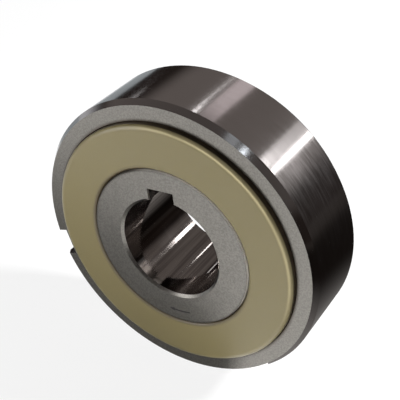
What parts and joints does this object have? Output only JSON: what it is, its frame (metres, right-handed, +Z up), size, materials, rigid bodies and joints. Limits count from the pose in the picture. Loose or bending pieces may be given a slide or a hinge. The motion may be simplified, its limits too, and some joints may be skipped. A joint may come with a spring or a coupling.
{
  "type": "sprag clutch",
  "caption": "Sprag clutch: keyed steel inner ring that runs free one way inside a notched steel outer ring, closed by tan cover rings.",
  "frame": {"origin": "middle of the bore", "axes": "+Y along the bore from the front face to the rear, +Z up, +X to the right as seen from the front"},
  "size_m": [0.085, 0.028, 0.085],
  "materials": {
    "ground_steel": "ground and polished along the axis",
    "faced_steel": "fine turned faces, honed bore",
    "cover": "satin tan moulding",
    "cage_steel": "pressed sheet steel",
    "spring_steel": "blued spring steel",
    "sprag_steel": "tumbled and polished"
  },
  "bodies": {
    "housing_side": {"outer_ring": "ground_steel", "front_cover": "cover", "rear_cover": "cover"},
    "inner_ring": {"inner_ring": "faced_steel"},
    "ribbon_spring": {"ribbon_spring": "spring_steel"},
    "outer_cage": {"outer_cage": "cage_steel"},
    "inner_cage": {"inner_cage": "cage_steel"},
    "sprag_01": {"sprag_01": "sprag_steel"},
    "sprag_02": {"sprag_02": "sprag_steel"},
    "sprag_03": {"sprag_03": "sprag_steel"},
    "sprag_04": {"sprag_04": "sprag_steel"},
    "sprag_05": {"sprag_05": "sprag_steel"},
    "sprag_06": {"sprag_06": "sprag_steel"},
    "sprag_07": {"sprag_07": "sprag_steel"},
    "sprag_08": {"sprag_08": "sprag_steel"},
    "sprag_09": {"sprag_09": "sprag_steel"},
    "sprag_10": {"sprag_10": "sprag_steel"},
    "sprag_11": {"sprag_11": "sprag_steel"},
    "sprag_12": {"sprag_12": "sprag_steel"},
    "sprag_13": {"sprag_13": "sprag_steel"},
    "sprag_14": {"sprag_14": "sprag_steel"},
    "sprag_15": {"sprag_15": "sprag_steel"},
    "sprag_16": {"sprag_16": "sprag_steel"},
    "sprag_17": {"sprag_17": "sprag_steel"},
    "sprag_18": {"sprag_18": "sprag_steel"},
    "sprag_19": {"sprag_19": "sprag_steel"},
    "sprag_20": {"sprag_20": "sprag_steel"}
  },
  "joints": [
    {"name": "inner_ring_spin", "type": "hinge", "parent": "housing_side", "child": "inner_ring", "pos_m": [0, 0, 0], "axis": [0, 1, 0], "continuous": true},
    {"name": "cage_spin", "type": "hinge", "parent": "housing_side", "child": "ribbon_spring", "pos_m": [0, 0, 0], "axis": [0, 1, 0], "continuous": true},
    {"name": "sprag_01_tilt", "type": "hinge", "parent": "ribbon_spring", "child": "sprag_01", "pos_m": [0, 0, 0.02916], "axis": [0, -1, 0], "range_deg": [0, 6], "stiffness_Nm_per_rad": 0.004, "springref_deg": -14.32},
    {"name": "sprag_02_tilt", "type": "hinge", "parent": "ribbon_spring", "child": "sprag_02", "pos_m": [0.00901, 0, 0.02774], "axis": [0, -1, 0], "range_deg": [0, 6], "stiffness_Nm_per_rad": 0.004, "springref_deg": -14.32},
    {"name": "sprag_03_tilt", "type": "hinge", "parent": "ribbon_spring", "child": "sprag_03", "pos_m": [0.01714, 0, 0.0236], "axis": [0, -1, 0], "range_deg": [0, 6], "stiffness_Nm_per_rad": 0.004, "springref_deg": -14.32},
    {"name": "sprag_04_tilt", "type": "hinge", "parent": "ribbon_spring", "child": "sprag_04", "pos_m": [0.0236, 0, 0.01714], "axis": [0, -1, 0], "range_deg": [0, 6], "stiffness_Nm_per_rad": 0.004, "springref_deg": -14.32},
    {"name": "sprag_05_tilt", "type": "hinge", "parent": "ribbon_spring", "child": "sprag_05", "pos_m": [0.02774, 0, 0.00901], "axis": [0, -1, 0], "range_deg": [0, 6], "stiffness_Nm_per_rad": 0.004, "springref_deg": -14.32},
    {"name": "sprag_06_tilt", "type": "hinge", "parent": "ribbon_spring", "child": "sprag_06", "pos_m": [0.02916, 0, 0], "axis": [0, -1, 0], "range_deg": [0, 6], "stiffness_Nm_per_rad": 0.004, "springref_deg": -14.32},
    {"name": "sprag_07_tilt", "type": "hinge", "parent": "ribbon_spring", "child": "sprag_07", "pos_m": [0.02774, 0, -0.00901], "axis": [0, -1, 0], "range_deg": [0, 6], "stiffness_Nm_per_rad": 0.004, "springref_deg": -14.32},
    {"name": "sprag_08_tilt", "type": "hinge", "parent": "ribbon_spring", "child": "sprag_08", "pos_m": [0.0236, 0, -0.01714], "axis": [0, -1, 0], "range_deg": [0, 6], "stiffness_Nm_per_rad": 0.004, "springref_deg": -14.32},
    {"name": "sprag_09_tilt", "type": "hinge", "parent": "ribbon_spring", "child": "sprag_09", "pos_m": [0.01714, 0, -0.0236], "axis": [0, -1, 0], "range_deg": [0, 6], "stiffness_Nm_per_rad": 0.004, "springref_deg": -14.32},
    {"name": "sprag_10_tilt", "type": "hinge", "parent": "ribbon_spring", "child": "sprag_10", "pos_m": [0.00901, 0, -0.02774], "axis": [0, -1, 0], "range_deg": [0, 6], "stiffness_Nm_per_rad": 0.004, "springref_deg": -14.32},
    {"name": "sprag_11_tilt", "type": "hinge", "parent": "ribbon_spring", "child": "sprag_11", "pos_m": [0, 0, -0.02916], "axis": [0, -1, 0], "range_deg": [0, 6], "stiffness_Nm_per_rad": 0.004, "springref_deg": -14.32},
    {"name": "sprag_12_tilt", "type": "hinge", "parent": "ribbon_spring", "child": "sprag_12", "pos_m": [-0.00901, 0, -0.02774], "axis": [0, -1, 0], "range_deg": [0, 6], "stiffness_Nm_per_rad": 0.004, "springref_deg": -14.32},
    {"name": "sprag_13_tilt", "type": "hinge", "parent": "ribbon_spring", "child": "sprag_13", "pos_m": [-0.01714, 0, -0.0236], "axis": [0, -1, 0], "range_deg": [0, 6], "stiffness_Nm_per_rad": 0.004, "springref_deg": -14.32},
    {"name": "sprag_14_tilt", "type": "hinge", "parent": "ribbon_spring", "child": "sprag_14", "pos_m": [-0.0236, 0, -0.01714], "axis": [0, -1, 0], "range_deg": [0, 6], "stiffness_Nm_per_rad": 0.004, "springref_deg": -14.32},
    {"name": "sprag_15_tilt", "type": "hinge", "parent": "ribbon_spring", "child": "sprag_15", "pos_m": [-0.02774, 0, -0.00901], "axis": [0, -1, 0], "range_deg": [0, 6], "stiffness_Nm_per_rad": 0.004, "springref_deg": -14.32},
    {"name": "sprag_16_tilt", "type": "hinge", "parent": "ribbon_spring", "child": "sprag_16", "pos_m": [-0.02916, 0, 0], "axis": [0, -1, 0], "range_deg": [0, 6], "stiffness_Nm_per_rad": 0.004, "springref_deg": -14.32},
    {"name": "sprag_17_tilt", "type": "hinge", "parent": "ribbon_spring", "child": "sprag_17", "pos_m": [-0.02774, 0, 0.00901], "axis": [0, -1, 0], "range_deg": [0, 6], "stiffness_Nm_per_rad": 0.004, "springref_deg": -14.32},
    {"name": "sprag_18_tilt", "type": "hinge", "parent": "ribbon_spring", "child": "sprag_18", "pos_m": [-0.0236, 0, 0.01714], "axis": [0, -1, 0], "range_deg": [0, 6], "stiffness_Nm_per_rad": 0.004, "springref_deg": -14.32},
    {"name": "sprag_19_tilt", "type": "hinge", "parent": "ribbon_spring", "child": "sprag_19", "pos_m": [-0.01714, 0, 0.0236], "axis": [0, -1, 0], "range_deg": [0, 6], "stiffness_Nm_per_rad": 0.004, "springref_deg": -14.32},
    {"name": "sprag_20_tilt", "type": "hinge", "parent": "ribbon_spring", "child": "sprag_20", "pos_m": [-0.00901, 0, 0.02774], "axis": [0, -1, 0], "range_deg": [0, 6], "stiffness_Nm_per_rad": 0.004, "springref_deg": -14.32},
    {"name": "outer_cage_shift", "type": "hinge", "parent": "ribbon_spring", "child": "outer_cage", "pos_m": [0, 0, 0], "axis": [0, -1, 0], "range_deg": [0, 0.5]},
    {"name": "inner_cage_shift", "type": "hinge", "parent": "ribbon_spring", "child": "inner_cage", "pos_m": [0, 0, 0], "axis": [0, 1, 0], "range_deg": [0, 0.5]}
  ],
  "couplings": [
    {"joint": "sprag_02_tilt", "follows": "sprag_01_tilt", "ratio": 1},
    {"joint": "sprag_03_tilt", "follows": "sprag_01_tilt", "ratio": 1},
    {"joint": "sprag_04_tilt", "follows": "sprag_01_tilt", "ratio": 1},
    {"joint": "sprag_05_tilt", "follows": "sprag_01_tilt", "ratio": 1},
    {"joint": "sprag_06_tilt", "follows": "sprag_01_tilt", "ratio": 1},
    {"joint": "sprag_07_tilt", "follows": "sprag_01_tilt", "ratio": 1},
    {"joint": "sprag_08_tilt", "follows": "sprag_01_tilt", "ratio": 1},
    {"joint": "sprag_09_tilt", "follows": "sprag_01_tilt", "ratio": 1},
    {"joint": "sprag_10_tilt", "follows": "sprag_01_tilt", "ratio": 1},
    {"joint": "sprag_11_tilt", "follows": "sprag_01_tilt", "ratio": 1},
    {"joint": "sprag_12_tilt", "follows": "sprag_01_tilt", "ratio": 1},
    {"joint": "sprag_13_tilt", "follows": "sprag_01_tilt", "ratio": 1},
    {"joint": "sprag_14_tilt", "follows": "sprag_01_tilt", "ratio": 1},
    {"joint": "sprag_15_tilt", "follows": "sprag_01_tilt", "ratio": 1},
    {"joint": "sprag_16_tilt", "follows": "sprag_01_tilt", "ratio": 1},
    {"joint": "sprag_17_tilt", "follows": "sprag_01_tilt", "ratio": 1},
    {"joint": "sprag_18_tilt", "follows": "sprag_01_tilt", "ratio": 1},
    {"joint": "sprag_19_tilt", "follows": "sprag_01_tilt", "ratio": 1},
    {"joint": "sprag_20_tilt", "follows": "sprag_01_tilt", "ratio": 1},
    {"joint": "outer_cage_shift", "follows": "sprag_01_tilt", "ratio": 0.0691},
    {"joint": "inner_cage_shift", "follows": "sprag_01_tilt", "ratio": 0.08019}
  ]
}
